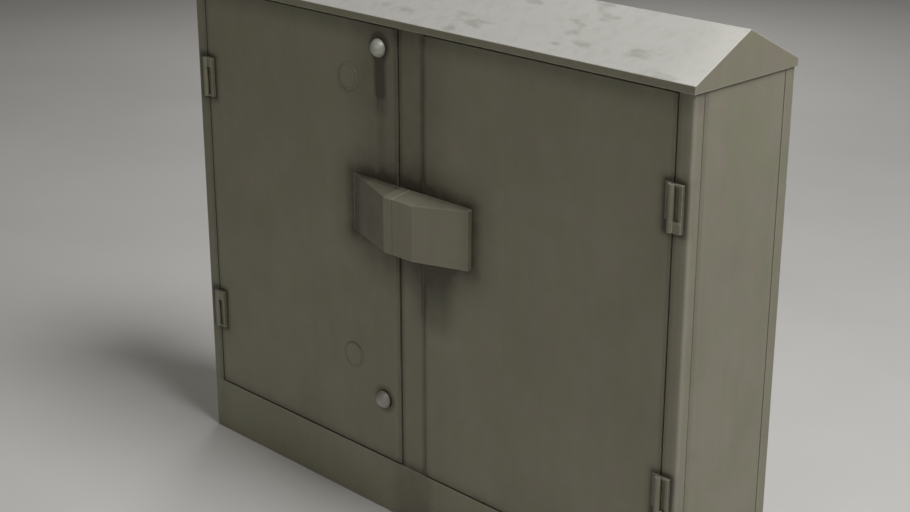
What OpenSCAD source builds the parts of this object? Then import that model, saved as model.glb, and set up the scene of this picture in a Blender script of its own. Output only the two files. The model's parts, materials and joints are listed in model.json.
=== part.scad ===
// Roadside cross-connection cabinet: a folded sheet-steel body on a plinth with a gabled
// roof cap, two doors that close on a fixed centre post, dome-headed quarter-turn locks,
// a two-part padlock box, lift-off hinges, and a wiring rack behind the doors.
// Millimetres. Origin: centre of the base on the ground. +Z is up, the doors face -Y.

/* [Body] */
// Width across the corner posts
body_w = 1200; // [1120:10:1300]
// Depth across the corner posts
body_d = 252; // [244:2:280]
// Height of the plinth
plinth_top = 108.5; // [90:0.5:120]
// Underside of the roof skirt, which the door tops clear
skirt_bottom = 934; // [930:1:980]
// Width of a corner post seen from the front
post_face = 28; // [26:1:32]
// Width of a corner post seen from the side
post_side = 24; // [22:1:28]
// Width of the centre post's front face
centre_face = 58; // [54:2:64]
// How far the centre post's face sits behind the doors
centre_recess = 3; // [2:0.5:4]
// Sheet of the posts, rails and panels
sheet_t = 2.5; // [2:0.5:3]
// Outside radius of the folded body corners
fold_r = 4; // [3.5:0.5:6]

/* [Roof] */
// Height of the eaves above the skirt's lower edge
skirt_h = 13; // [11:1:20]
// Height of the ridge above the eaves
ridge_rise = 64; // [50:2:90]
// How far the roof stands out in front of the body and behind it
roof_over = 3; // [3:0.5:8]
// How far the roof stands out at each side
gable_over = 2.5; // [2.5:0.5:5]

/* [Doors] */
// Gap round each door
door_gap = 3; // [2.5:0.5:4]
// Depth of a door's folded edge
door_depth = 22; // [20:1:24]
// Thickness of the door sheet
door_t = 2; // [1.5:0.5:2.5]
// Width of the lip that carries the gasket
door_lip = 18; // [16:1:20]

/* [Hinges] */
// Height of one hinge
hinge_h = 76; // [70:2:90]
// Height of the upper hinges' middle
hinge_upper_z = 757; // [720:1:780]
// Height of the lower hinges' middle
hinge_lower_z = 273; // [250:1:320]
// Radius of the hinge barrel
barrel_r = 5.5; // [5:0.5:6]
// Radius of the hinge pin
pin_r = 3; // [2.5:0.5:3]

/* [Locks] */
// Distance of the locks from the cabinet's middle
lock_x = 75; // [70:1:80]
// Height of the upper lock
lock_upper_z = 893; // [880:1:893]
// Height of the lower lock
lock_lower_z = 230; // [200:1:240]
// Radius of the domed lock head
dome_r = 16.5; // [14:0.5:17]
// Height of the dome above its collar
dome_h = 14; // [12:1:16]

/* [Padlock box] */
// Height of the box's open lower edge
box_bottom = 545; // [500:5:580]
// Height of its front face
box_h = 102; // [90:2:110]
// How far the flat middle stands out from the doors
box_depth = 46; // [42:2:56]
// How far its lid falls from back to front
lid_fall = 7; // [4:1:10]

/* [Inside] */
// Width of one terminal block
block_w = 100; // [80:5:110]
// Height of one terminal block
block_h = 550; // [500:10:560]
// Number of terminal strips on one block
strip_count = 10; // [8:1:10]

/* [Base] */
// Anchor bolt spacing along the cabinet
anchor_dx = 1100; // [1000:10:1100]
// Anchor bolt spacing across the cabinet
anchor_dy = 190; // [180:2:200]
// Diameter of the anchor holes
anchor_d = 14; // [12:1:18]
// Inner radius of a cable sleeve
sleeve_r = 25; // [20:1:30]

/* [Hidden] */
$fn = 64;
half_w = body_w / 2;
half_d = body_d / 2;
front = -half_d;
plinth_t = 3;
foot_flange = 48;
top_flange = 24;
seam = 1.4;
return_w = 15;
seal_t = 3.6;
seal_play = 0.4;
seal_w = 10;
seal_inset = 3;
stop_y = front + door_depth + seal_t + seal_play;
stop_reach = 20;
jamb_x = half_w - post_face;
post_top = skirt_bottom + 9;
rail_half = jamb_x - stop_reach - 0.5;
tray_top = plinth_top + sheet_t;
sill_top = plinth_top + 23.5;
door_w = (body_w - 2 * post_face - centre_face) / 2 - 2 * door_gap;
door_bottom = plinth_top + door_gap;
door_top = skirt_bottom - 2.5;
door_h = door_top - door_bottom;
door_near = centre_face / 2 + door_gap;
door_far = door_near + door_w;
door_mid = (door_near + door_far) / 2;
roof_t = 2;
eave_z = skirt_bottom + skirt_h;
ridge_z = eave_z + ridge_rise;
roof_slope = atan(ridge_rise / (half_d + roof_over));
slope_t = roof_t / cos(roof_slope);
hanger_x = 350;
hanger_t = 3;
hanger_y = 80;
bolt_r = 4;
bolt_hole_r = bolt_r + 0.3;
post_bolt_y = front + top_flange / 2 + 1;
post_drop = 3;
axis_x = jamb_x - door_gap / 2;
axis_out = barrel_r + 0.5;
hinge_split = -hinge_h / 2 + 18;
pin_fit = 0.05;
leaf_w = 20;
collar_t = 2;
collar_r = 18;
lock_barrel_r = 11;
spindle_r = 6;
cam_len = 42;
cam_w = 18;
cam_t = 4;
cam_front = stop_y + sheet_t + 1.2;
stiffener_d = 15;
pocket_z = 335;
plug_x = 158;
plug_r = 24;
plug_upper_z = 828;
plug_lower_z = 296;
box_t = 3;
box_end_left = -150;
box_end_right = 150;
box_fold_left = -21;
box_fold_right = 50;
box_end_depth = 11;
box_split = 0.3;
box_slope = atan(lid_fall / box_depth);
lug_z = 598;
lug_h = 34;
lug_out = 26;
lug_t = 3;
rack_z = [300, 780];
rack_front = half_d - door_t - 25;
blocks_per_side = 3;
block_pitch = 145;
block_first = 155;
block_bottom = 265;
block_depth = 54;
block_back = 4;
ring_wire_r = 2.5;
ring_r = (block_pitch - block_w) / 2 - ring_wire_r - 2;
earth_half = 260;
earth_z = 160;
earth_h = 25;
earth_out = 40;
sleeve_h = 36;
sleeve_drop = 16;
sleeve_x = [-405, -135, 135, 405];

paint = "#8b887b";
paint_light = "#b4b3a8";
paint_dark = "#7c7a6d";
galvanised = "#9aa0a2";
zinc = "#c4c6c4";
black_rubber = "#232323";
cream = "#d8d2bd";
copper = "#b87545";

// A rectangle with round corners, centred.
module round_rect(w, d, r) {
    square([w - 2 * r, d], center = true);
    square([w, d - 2 * r], center = true);
    for (x = [-1, 1], y = [-1, 1])
        translate([x * (w / 2 - r), y * (d / 2 - r)])
            circle(r);
}

// Moves a front left corner piece to another corner.
module at_corner(right, rear) {
    mirror([right ? 1 : 0, 0, 0])
        mirror([0, rear ? 1 : 0, 0])
            children();
}

// Turns a shape drawn along +Z so that it runs along -Y from a point in plan.
module facing_front(x, y, z) {
    translate([x, y, z])
        rotate([90, 0, 0])
            children();
}

// A hexagon-headed bolt with its nut, shank along +Z, the head's seat at z = 0.
module bolt_and_nut(grip) {
    head = bolt_r * 1.3;
    translate([0, 0, -head])
        cylinder(r = bolt_r * 1.85, h = head, $fn = 6);
    cylinder(r = bolt_r, h = grip + head + 1.5);
    translate([0, 0, grip])
        cylinder(r = bolt_r * 1.85, h = head, $fn = 6);
}

// ---- body ----

// Folded plinth ring with a foot flange, a top flange and four anchor holes.
module plinth() {
    color(paint_dark)
        difference() {
            linear_extrude(plinth_top)
                round_rect(body_w, body_d, fold_r);
            translate([0, 0, plinth_t])
                linear_extrude(plinth_top - 2 * plinth_t)
                    round_rect(body_w - 2 * plinth_t, body_d - 2 * plinth_t, fold_r - plinth_t);
            translate([0, 0, -1])
                linear_extrude(plinth_top / 2)
                    square([body_w - 2 * foot_flange, body_d - 2 * foot_flange], center = true);
            translate([0, 0, plinth_top / 2])
                linear_extrude(plinth_top)
                    square([body_w - 2 * top_flange, body_d - 2 * top_flange], center = true);
            for (x = [-1, 1], y = [-1, 1])
                translate([x * anchor_dx / 2, y * anchor_dy / 2, -1])
                    cylinder(d = anchor_d, h = plinth_t + 2);
            translate([0, post_bolt_y, plinth_top / 2])
                cylinder(r = bolt_hole_r, h = plinth_top);
        }
}

// Floor with an upstand that the door bottoms seal on, and holes for the cable sleeves.
module floor_tray() {
    rear_y = half_d - return_w - 4;
    wing_half_w = half_w - return_w - 2;
    wing_half_d = half_d - post_side - 10;
    color(galvanised)
        difference() {
            union() {
                translate([-rail_half, stop_y, plinth_top])
                    cube([2 * rail_half, rear_y - stop_y, sheet_t]);
                translate([-wing_half_w, -wing_half_d, plinth_top])
                    cube([2 * wing_half_w, 2 * wing_half_d, sheet_t]);
                translate([-rail_half, stop_y, plinth_top])
                    cube([2 * rail_half, sheet_t, sill_top - plinth_top]);
                translate([-rail_half, rear_y - sheet_t, plinth_top])
                    cube([2 * rail_half, sheet_t, return_w]);
            }
            for (x = sleeve_x)
                translate([x, 0, plinth_top - 1])
                    cylinder(r = sleeve_r + sheet_t + 0.1, h = sheet_t + 2);
        }
}

// Plan of the folded skin of the whole body, of which each post is one corner.
module body_skin() {
    difference() {
        round_rect(body_w, body_d, fold_r);
        round_rect(body_w - 2 * sheet_t, body_d - 2 * sheet_t, fold_r - sheet_t);
    }
}

// A corner post in the front left place. A front post goes on to a jamb and a door stop.
module corner_post(has_stop) {
    inner_leg = has_stop ? stop_y + sheet_t - front : return_w;
    translate([0, 0, plinth_top])
        linear_extrude(post_top - plinth_top) {
            intersection() {
                body_skin();
                translate([-half_w, front])
                    square([post_face, post_side]);
            }
            translate([-half_w + 1, front + post_side - sheet_t])
                square([return_w - 1, sheet_t]);
            translate([-jamb_x - sheet_t, front + 1])
                square([sheet_t, inner_leg - 1]);
            if (has_stop)
                translate([-jamb_x - sheet_t, stop_y])
                    square([stop_reach + sheet_t, sheet_t]);
        }
}

// A sheet with its four edges folded back, front face on y = 0, lower left corner at x = z = 0.
module folded_panel(w, h, depth, t) {
    difference() {
        cube([w, depth, h]);
        translate([t, t, t])
            cube([w - 2 * t, depth, h - 2 * t]);
    }
}

module side_panel() {
    panel_w = body_d - 2 * (post_side + seam);
    color(paint)
        translate([-half_w, panel_w / 2, plinth_top + seam])
            rotate([0, 0, -90])
                folded_panel(panel_w, post_top - plinth_top - seam, return_w, door_t);
}

module rear_panel() {
    panel_w = 2 * (jamb_x - seam);
    color(paint)
        translate([panel_w / 2, half_d, plinth_top + seam])
            rotate([0, 0, 180])
                folded_panel(panel_w, post_top - plinth_top - seam, return_w, door_t);
}

// Folded rail over the doors: a front edge, a ledge under the roof and a door stop.
module head_rail() {
    ledge_d = 40;
    edge_y = front + 0.2;
    edge_t = centre_recess - 0.5;
    color(paint)
        difference() {
            translate([-rail_half, 0, 0]) {
                translate([0, edge_y, post_top - sheet_t])
                    cube([2 * rail_half, stop_y + ledge_d - edge_y, sheet_t]);
                translate([0, edge_y, skirt_bottom + 1])
                    cube([2 * rail_half, edge_t, post_top - skirt_bottom - 1]);
                translate([0, stop_y, door_top - door_lip])
                    cube([2 * rail_half, sheet_t, post_top - door_top + door_lip]);
            }
            for (x = [-hanger_x, hanger_x])
                translate([x, -hanger_y, post_top - 2 * sheet_t])
                    cylinder(r = bolt_hole_r, h = 3 * sheet_t);
            translate([0, post_bolt_y, post_top - 2 * sheet_t])
                cylinder(r = bolt_hole_r, h = 3 * sheet_t);
        }
}

// Angle that ties the rear posts together under the roof.
module rear_rail() {
    rail_y = half_d - return_w - 3;
    ledge_y = hanger_y - 20;
    edge_h = 30;
    color(paint)
        difference() {
            translate([-rail_half, 0, 0]) {
                translate([0, ledge_y, post_top - sheet_t])
                    cube([2 * rail_half, rail_y - ledge_y, sheet_t]);
                translate([0, rail_y - sheet_t, post_top - edge_h])
                    cube([2 * rail_half, sheet_t, edge_h]);
            }
            for (x = [-hanger_x, hanger_x])
                translate([x, hanger_y, post_top - 2 * sheet_t])
                    cylinder(r = bolt_hole_r, h = 3 * sheet_t);
        }
}

// Removable hat-section post that both doors close on, with a bolted plate at each end.
module centre_post() {
    skin_y = front + centre_recess;
    stop_half = centre_face / 2 + stop_reach;
    plate_w = centre_face - 2 * sheet_t;
    post_bottom = plinth_top + 2;
    stop_bottom = sill_top + 0.5;
    stop_h = door_top - door_lip - 0.5 - stop_bottom;
    color(paint)
        difference() {
            union() {
                translate([-centre_face / 2, skin_y, post_bottom])
                    cube([centre_face, stop_y - 0.5 - skin_y, post_top - post_drop - post_bottom]);
                translate([-stop_half, stop_y, stop_bottom])
                    cube([2 * stop_half, sheet_t, stop_h]);
                translate([-centre_face / 2, skin_y, stop_bottom])
                    cube([centre_face, stop_y + sheet_t - skin_y, stop_h]);
            }
            translate([-plate_w / 2, skin_y + sheet_t, plinth_top - 1])
                cube([plate_w, door_depth + 10, post_top]);
        }
    color(paint)
        for (z = [plinth_top, post_top - post_drop - sheet_t])
            difference() {
                translate([-plate_w / 2 - 1, skin_y + 1, z])
                    cube([plate_w + 2, stop_y - 1.5 - skin_y, sheet_t]);
                translate([0, post_bolt_y, z - 1])
                    cylinder(r = bolt_hole_r, h = sheet_t + 2);
            }
}

module centre_post_bolts() {
    color(zinc) {
        translate([0, post_bolt_y, plinth_top - plinth_t])
            bolt_and_nut(plinth_t + sheet_t);
        translate([0, post_bolt_y, post_top - post_drop - sheet_t])
            bolt_and_nut(post_drop + sheet_t);
    }
}

// ---- roof ----

// Outline of the gable; inset moves every side in by the sheet thickness.
function gable_outline(inset, drop) = let (y = half_d + roof_over - inset)
    [[-y, skirt_bottom - drop], [y, skirt_bottom - drop],
     [y, roof_under(y) + (inset > 0 ? 0 : slope_t)],
     [0, ridge_z - (inset > 0 ? slope_t : 0)],
     [-y, roof_under(y) + (inset > 0 ? 0 : slope_t)]];

// Height of the roof's underside at a distance from the ridge line.
function roof_under(y) = ridge_z - slope_t - abs(y) * tan(roof_slope);

// A prism across the cabinet, from a section in the YZ plane.
module across(length) {
    translate([-length / 2, 0, 0])
        rotate([90, 0, 90])
            linear_extrude(length)
                children();
}

// One folded cap: two slopes, two gable ends and a skirt over the body's top edge.
module roof_cap() {
    color(paint_light)
        difference() {
            across(body_w + 2 * gable_over)
                polygon(gable_outline(0, 0));
            across(body_w + 2 * gable_over - 2 * roof_t)
                polygon(gable_outline(roof_t, 1));
        }
}

// Two gable-shaped plates under the roof, with feet bolted to the head and rear rails.
module roof_hangers() {
    foot_w = 30;
    reach = hanger_y + foot_w / 2;
    clear = 0.3;
    color(galvanised)
        for (x = [-hanger_x, hanger_x])
            difference() {
                translate([x, 0, 0]) {
                    translate([foot_w / 2 - hanger_t, 0, 0])
                        across(hanger_t)
                            polygon([[-reach, post_top], [reach, post_top],
                                     [reach, roof_under(reach) - clear],
                                     [0, roof_under(0) - clear],
                                     [-reach, roof_under(reach) - clear]]);
                    for (y = [-reach, reach - foot_w])
                        translate([-foot_w / 2, y, post_top])
                            cube([foot_w, foot_w, sheet_t]);
                }
                for (y = [-hanger_y, hanger_y])
                    translate([x, y, post_top - 1])
                        cylinder(r = bolt_hole_r, h = sheet_t + 2);
            }
}

module roof_bolts() {
    color(zinc)
        for (x = [-hanger_x, hanger_x], y = [-hanger_y, hanger_y])
            translate([x, y, post_top - sheet_t])
                bolt_and_nut(2 * sheet_t);
}

// ---- inside ----

// C rail across the rear panel that carries the terminal blocks.
module rack_rail(z) {
    rail_h = 40;
    rail_d = half_d - door_t - rack_front;
    color(galvanised)
        translate([-rail_half, rack_front, z - rail_h / 2])
            difference() {
                cube([2 * rail_half, rail_d, rail_h]);
                translate([-1, sheet_t, sheet_t])
                    cube([2 * rail_half + 2, rail_d, rail_h - 2 * sheet_t]);
            }
}

// Terminal block: a backplate with a column of grooved terminal strips.
module terminal_block(index) {
    side = index > blocks_per_side ? 1 : -1;
    place = (index - 1) % blocks_per_side;
    pitch = block_h / strip_count;
    row_gap = 14;
    side_gap = 4;
    groove_h = 8;
    groove_d = 12;
    strip_h = pitch - row_gap;
    color(cream)
        translate([side * (block_first + place * block_pitch), rack_front, block_bottom]) {
            translate([-block_w / 2, -block_back, 0])
                cube([block_w, block_back, block_h]);
            for (row = [0 : strip_count - 1])
                translate([-block_w / 2 + side_gap, -block_depth, row * pitch + row_gap / 2])
                    difference() {
                        cube([block_w - 2 * side_gap, block_depth - block_back + 1, strip_h]);
                        translate([-1, -1, (strip_h - groove_h) / 2])
                            cube([block_w, groove_d + 1, groove_h]);
                    }
        }
}

// Closed wire guides beside the blocks, each on a short stem welded to a rack rail.
module jumper_rings() {
    columns = [block_first + block_pitch / 2, block_first + block_pitch * 1.5];
    stem = 6;
    color(zinc)
        for (side = [-1, 1], x = columns, z = rack_z)
            translate([side * x, rack_front - stem - ring_r, z]) {
                rotate_extrude($fn = 32)
                    translate([ring_r, 0])
                        circle(ring_wire_r, $fn = 16);
                translate([0, ring_r + stem, 0])
                    rotate([90, 0, 0])
                        cylinder(r = ring_wire_r - 0.5, h = stem);
            }
}

// Copper earth bar with a row of terminal holes.
module earth_bar() {
    bar_t = 5;
    holes = 8;
    hole_pitch = 60;
    back_y = half_d - door_t - earth_out;
    color(copper)
        difference() {
            translate([-earth_half, back_y - bar_t, earth_z])
                cube([2 * earth_half, bar_t, earth_h]);
            for (i = [0 : holes - 1])
                facing_front((i - (holes - 1) / 2) * hole_pitch, back_y + 1, earth_z + earth_h / 2)
                    cylinder(r = 4.25, h = bar_t + 2);
        }
}

module earth_bar_insulators() {
    inset = 18;
    color(black_rubber)
        for (x = [-earth_half + inset, earth_half - inset])
            facing_front(x, half_d - door_t, earth_z + earth_h / 2)
                cylinder(r = 11, h = earth_out);
}

// Flanged steel sleeves that the cables come up through.
module cable_sleeves() {
    color(galvanised)
        for (x = sleeve_x)
            translate([x, 0, 0])
                difference() {
                    union() {
                        translate([0, 0, tray_top - sleeve_drop])
                            cylinder(r = sleeve_r + sheet_t, h = sleeve_h);
                        translate([0, 0, tray_top])
                            cylinder(r = sleeve_r + 12, h = sheet_t);
                    }
                    translate([0, 0, tray_top - sleeve_drop - 1])
                        cylinder(r = sleeve_r, h = sleeve_h + 2);
                }
}

// ---- doors ----

// Door pan in the right-hand place: folded edges and a lip all round for the gasket.
module door_pan() {
    translate([door_near, front, door_bottom])
        difference() {
            cube([door_w, door_depth, door_h]);
            translate([door_t, door_t, door_t])
                cube([door_w - 2 * door_t, door_depth - 2 * door_t, door_h - 2 * door_t]);
            translate([door_lip, door_t, door_lip])
                cube([door_w - 2 * door_lip, door_depth, door_h - 2 * door_lip]);
        }
}

module left_door() {
    color(paint)
        difference() {
            mirror([1, 0, 0])
                door_pan();
            for (z = [lock_upper_z, lock_lower_z])
                facing_front(-lock_x, front + door_t + 1, z)
                    cylinder(r = lock_barrel_r + 0.1, h = door_t + 2);
        }
}

module right_door() {
    color(paint)
        door_pan();
}

// Hat-section stiffener down the middle of a door, welded to the back of its sheet.
module door_stiffener() {
    hat_w = 34;
    brim = 13;
    end_gap = door_lip + 6;
    t = 1.5;
    color(paint)
        translate([door_mid, front + door_t, door_bottom + end_gap])
            linear_extrude(door_h - 2 * end_gap) {
                translate([-hat_w / 2 - brim, 0])
                    square([brim + t, t]);
                translate([hat_w / 2 - t, 0])
                    square([brim + t, t]);
                translate([-hat_w / 2, 0])
                    square([t, stiffener_d]);
                translate([hat_w / 2 - t, 0])
                    square([t, stiffener_d]);
                translate([-hat_w / 2, stiffener_d - t])
                    square([hat_w, t]);
            }
}

// Rubber frame on the door's lip.
module door_gasket() {
    color(black_rubber)
        translate([door_near + seal_inset, front + door_depth, door_bottom + seal_inset])
            difference() {
                cube([door_w - 2 * seal_inset, seal_t, door_h - 2 * seal_inset]);
                translate([seal_w, -1, seal_w])
                    cube([door_w - 2 * seal_inset - 2 * seal_w, seal_t + 2,
                          door_h - 2 * seal_inset - 2 * seal_w]);
            }
}

// Shallow domed disc that closes an unused hole.
module blanking_plug(z) {
    color(paint)
        facing_front(-plug_x, front, z)
            rotate_extrude()
                polygon([[0, 0], [plug_r, 0], [plug_r, 0.8], [plug_r - 1.2, 1.6],
                         [plug_r - 4, 1.9], [0, 2.2]]);
}

// Open sheet-steel pocket on the right door's stiffener.
module document_pocket() {
    pocket_w = 220;
    pocket_d = 26;
    pocket_h = 230;
    t = 1.5;
    color(galvanised)
        translate([door_mid - pocket_w / 2, front + door_t + stiffener_d, pocket_z])
            difference() {
                cube([pocket_w, pocket_d, pocket_h]);
                translate([t, t, t])
                    cube([pocket_w - 2 * t, pocket_d - 2 * t, pocket_h]);
            }
}

// ---- padlock box ----

// Plan of the bow front, y = 0 on the door face and the outside towards -y. The left end
// tapers to nothing, so there the inside starts four sheet thicknesses further in.
function bow_points(inset) = [[box_end_left + inset * 4, 0], [box_fold_left, inset - box_depth],
    [box_fold_right, inset - box_depth], [box_end_right - inset, inset - box_end_depth],
    [box_end_right - inset, 0]];

// Everything below the lid, which slopes down towards the front, less a sheet thickness.
module under_lid(thickness) {
    translate([0, -box_depth, box_bottom + box_h - thickness])
        rotate([box_slope, 0, 0])
            translate([-400, -100, -400])
                cube([800, 400, 400]);
}

// The whole box before it is divided: bow front, sloping lid, open below.
module bow_box() {
    tall = box_h + 2 * lid_fall;
    translate([0, front, 0])
        difference() {
            intersection() {
                translate([0, 0, box_bottom])
                    linear_extrude(tall)
                        polygon(bow_points(0));
                under_lid(0);
            }
            intersection() {
                translate([0, 1, box_bottom - 1])
                    linear_extrude(tall)
                        polygon(bow_points(box_t));
                under_lid(box_t);
            }
        }
}

// One half of the box; the lid keeps clear of the centre post and the other door.
module lock_box_half(side) {
    color(paint)
        intersection() {
            bow_box();
            translate([side < 0 ? -400 : box_split, front - 200, 0])
                cube([400 - box_split, 200, 1000]);
        }
}

// Angle bracket from one door to the middle of the box, with a padlock hole in its lug.
module padlock_lug(side) {
    lug_gap = 0.8;
    foot_len = 84;
    color(zinc)
        mirror([side < 0 ? 1 : 0, 0, 0])
            difference() {
                union() {
                    translate([lug_gap, front - lug_t, lug_z])
                        cube([foot_len, lug_t, lug_h]);
                    translate([lug_gap, front - lug_out, lug_z])
                        cube([lug_t, lug_out, lug_h]);
                }
                translate([0, front - lug_out + 10, lug_z + lug_h / 2])
                    rotate([0, 90, 0])
                        cylinder(r = 5, h = 10);
            }
}

// ---- hinges ----

// Local frame: pin axis on z, leaf towards +x, outside towards -y, body face on y = axis_out.
module at_hinge(right, z) {
    translate([right ? axis_x : -axis_x, front - axis_out, z])
        mirror([0, 0, right ? 0 : 1])
            children();
}

// Ribbed leaf with the short knuckle at its end.
module hinge_leaf() {
    leaf_near = barrel_r - 0.1;
    rim_near = barrel_r + 1.1;
    leaf_t = 3;
    rim = 3.5;
    rib_w = 5;
    rib_t = 6.5;
    block_t = 8;
    block_z = hinge_split - 0.5 + hinge_h / 2;
    color(paint)
        difference() {
            union() {
                translate([leaf_near, axis_out - leaf_t, -hinge_h / 2])
                    cube([leaf_w - leaf_near, leaf_t, hinge_h]);
                translate([leaf_w - rib_w, axis_out - rib_t, -hinge_h / 2])
                    cube([rib_w, rib_t, hinge_h]);
                translate([rim_near, axis_out - rib_t, hinge_h / 2 - rim])
                    cube([leaf_w - rim_near, rib_t, rim]);
                translate([0, axis_out - block_t, -hinge_h / 2])
                    cube([leaf_w, block_t - 0.5, block_z]);
                translate([leaf_near, axis_out - block_t, -hinge_h / 2])
                    cube([leaf_w - leaf_near, block_t, block_z]);
                translate([0, 0, -hinge_h / 2])
                    cylinder(r = barrel_r, h = block_z);
            }
            translate([0, 0, -hinge_h / 2 - 1])
                cylinder(r = pin_r + 0.02, h = hinge_h);
        }
}

// Long barrel with a thin leaf on the other side of the gap.
module hinge_barrel() {
    leaf_t = 2.5;
    thin_leaf_w = 14;
    barrel_h = hinge_h / 2 - hinge_split;
    color(paint)
        difference() {
            union() {
                translate([0, 0, hinge_split])
                    cylinder(r = barrel_r, h = barrel_h);
                translate([-barrel_r + 0.1, 0, hinge_split])
                    cube([barrel_r - 0.1 - door_gap / 2, axis_out, barrel_h]);
                translate([-thin_leaf_w, axis_out - leaf_t, hinge_split])
                    cube([thin_leaf_w - door_gap / 2, leaf_t, barrel_h]);
            }
            translate([0, 0, -hinge_h / 2])
                cylinder(r = pin_r + pin_fit, h = 2 * hinge_h);
        }
}

module hinge_pins() {
    color(zinc)
        for (right = [false, true], z = [hinge_lower_z, hinge_upper_z])
            at_hinge(right, z)
                translate([0, 0, -hinge_h / 2])
                    cylinder(r = pin_r, h = hinge_h - 0.5);
}

// ---- locks ----

// Collar and threaded barrel that clamp the lock in the door.
module lock_body(z) {
    color(zinc)
        difference() {
            union() {
                facing_front(-lock_x, front, z)
                    cylinder(r = collar_r, h = collar_t);
                facing_front(-lock_x, stop_y, z)
                    cylinder(r = lock_barrel_r, h = stop_y - front + 1);
            }
            facing_front(-lock_x, stop_y + 1, z)
                cylinder(r = spindle_r + pin_fit, h = 60);
        }
}

module lock_nuts() {
    nut_t = 7;
    color(zinc)
        for (z = [lock_upper_z, lock_lower_z])
            facing_front(-lock_x, front + door_t + nut_t, z)
                difference() {
                    cylinder(r = 17, h = nut_t, $fn = 6);
                    translate([0, 0, -1])
                        cylinder(r = lock_barrel_r + 0.05, h = nut_t + 2);
                }
}

// Domed head turned in one piece with its spindle, which is peened over behind the cam.
module lock_dome(z) {
    play = 0.3;
    tail_y = cam_front + cam_t;
    sphere_r = (dome_r * dome_r + dome_h * dome_h) / (2 * dome_h);
    color(zinc) {
        facing_front(-lock_x, front - collar_t - play, z)
            rotate_extrude()
                intersection() {
                    translate([0, dome_h - sphere_r])
                        circle(sphere_r, $fn = 96);
                    square([dome_r + 1, dome_h + 1]);
                }
        facing_front(-lock_x, tail_y, z)
            cylinder(r = spindle_r, h = tail_y - front + collar_t + play + 1);
        facing_front(-lock_x, tail_y + 2, z)
            cylinder(r = spindle_r + 2, h = 2);
    }
}

// Cam plate on the spindle: up or down when unlocked, behind the centre post when turned.
module lock_cam(z, direction) {
    color(galvanised)
        facing_front(-lock_x, cam_front + cam_t, z)
            linear_extrude(cam_t)
                difference() {
                    union() {
                        circle(cam_w / 2);
                        translate([-cam_w / 2, direction > 0 ? 0 : -cam_len])
                            square([cam_w, cam_len]);
                    }
                    circle(spindle_r + 0.02);
                }
}

// ---- one line for each node ----

plinth();
floor_tray();
color(paint) corner_post(true);  // front_left_post
color(paint) at_corner(true, false) corner_post(true);  // front_right_post
color(paint) at_corner(false, true) corner_post(false);  // rear_left_post
color(paint) at_corner(true, true) corner_post(false);  // rear_right_post
side_panel();  // left_side_panel
mirror([1, 0, 0]) side_panel();  // right_side_panel
rear_panel();
head_rail();
rear_rail();
centre_post();
centre_post_bolts();
roof_cap();
roof_hangers();
roof_bolts();
rack_rail(rack_z[1]);  // upper_rack_rail
rack_rail(rack_z[0]);  // lower_rack_rail
for (i = [1 : 2 * blocks_per_side])
    terminal_block(i);
jumper_rings();
earth_bar();
earth_bar_insulators();
cable_sleeves();
left_door();
mirror([1, 0, 0]) door_stiffener();  // left_door_stiffener
mirror([1, 0, 0]) door_gasket();  // left_door_gasket
blanking_plug(plug_upper_z);  // upper_blanking_plug
blanking_plug(plug_lower_z);  // lower_blanking_plug
lock_box_half(-1);  // lock_box_left
padlock_lug(-1);  // left_padlock_lug
right_door();
door_stiffener();  // right_door_stiffener
door_gasket();  // right_door_gasket
lock_box_half(1);  // lock_box_right
padlock_lug(1);  // right_padlock_lug
document_pocket();
at_hinge(false, hinge_upper_z) hinge_leaf();  // left_upper_hinge_leaf
at_hinge(false, hinge_lower_z) hinge_leaf();  // left_lower_hinge_leaf
at_hinge(false, hinge_upper_z) hinge_barrel();  // left_upper_hinge_barrel
at_hinge(false, hinge_lower_z) hinge_barrel();  // left_lower_hinge_barrel
at_hinge(true, hinge_upper_z) hinge_leaf();  // right_upper_hinge_leaf
at_hinge(true, hinge_lower_z) hinge_leaf();  // right_lower_hinge_leaf
at_hinge(true, hinge_upper_z) hinge_barrel();  // right_upper_hinge_barrel
at_hinge(true, hinge_lower_z) hinge_barrel();  // right_lower_hinge_barrel
hinge_pins();
lock_body(lock_upper_z);  // upper_lock_body
lock_body(lock_lower_z);  // lower_lock_body
lock_nuts();
lock_dome(lock_upper_z);  // upper_lock_dome
lock_dome(lock_lower_z);  // lower_lock_dome
lock_cam(lock_upper_z, -1);  // upper_lock_cam
lock_cam(lock_lower_z, 1);  // lower_lock_cam
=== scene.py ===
import json
import math

import bmesh
import bpy
import numpy as np
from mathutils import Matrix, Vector


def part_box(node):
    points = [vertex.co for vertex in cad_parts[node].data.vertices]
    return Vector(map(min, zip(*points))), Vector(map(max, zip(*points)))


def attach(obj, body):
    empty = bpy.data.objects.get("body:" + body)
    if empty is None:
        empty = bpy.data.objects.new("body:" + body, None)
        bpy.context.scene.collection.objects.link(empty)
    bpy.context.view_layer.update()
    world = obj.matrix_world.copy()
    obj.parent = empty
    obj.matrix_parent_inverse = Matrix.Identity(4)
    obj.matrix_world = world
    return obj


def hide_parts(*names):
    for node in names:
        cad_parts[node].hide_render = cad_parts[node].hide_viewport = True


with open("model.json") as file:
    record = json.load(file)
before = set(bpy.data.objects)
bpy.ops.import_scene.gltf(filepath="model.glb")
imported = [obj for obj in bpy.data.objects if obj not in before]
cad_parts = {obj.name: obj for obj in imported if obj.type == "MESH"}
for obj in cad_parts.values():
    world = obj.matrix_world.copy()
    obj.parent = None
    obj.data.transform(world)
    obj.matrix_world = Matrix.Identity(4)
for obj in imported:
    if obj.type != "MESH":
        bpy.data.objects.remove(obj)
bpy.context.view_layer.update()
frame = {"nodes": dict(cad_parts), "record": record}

scene = bpy.context.scene
print("frame loaded:", len(frame["nodes"]), "nodes")

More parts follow.
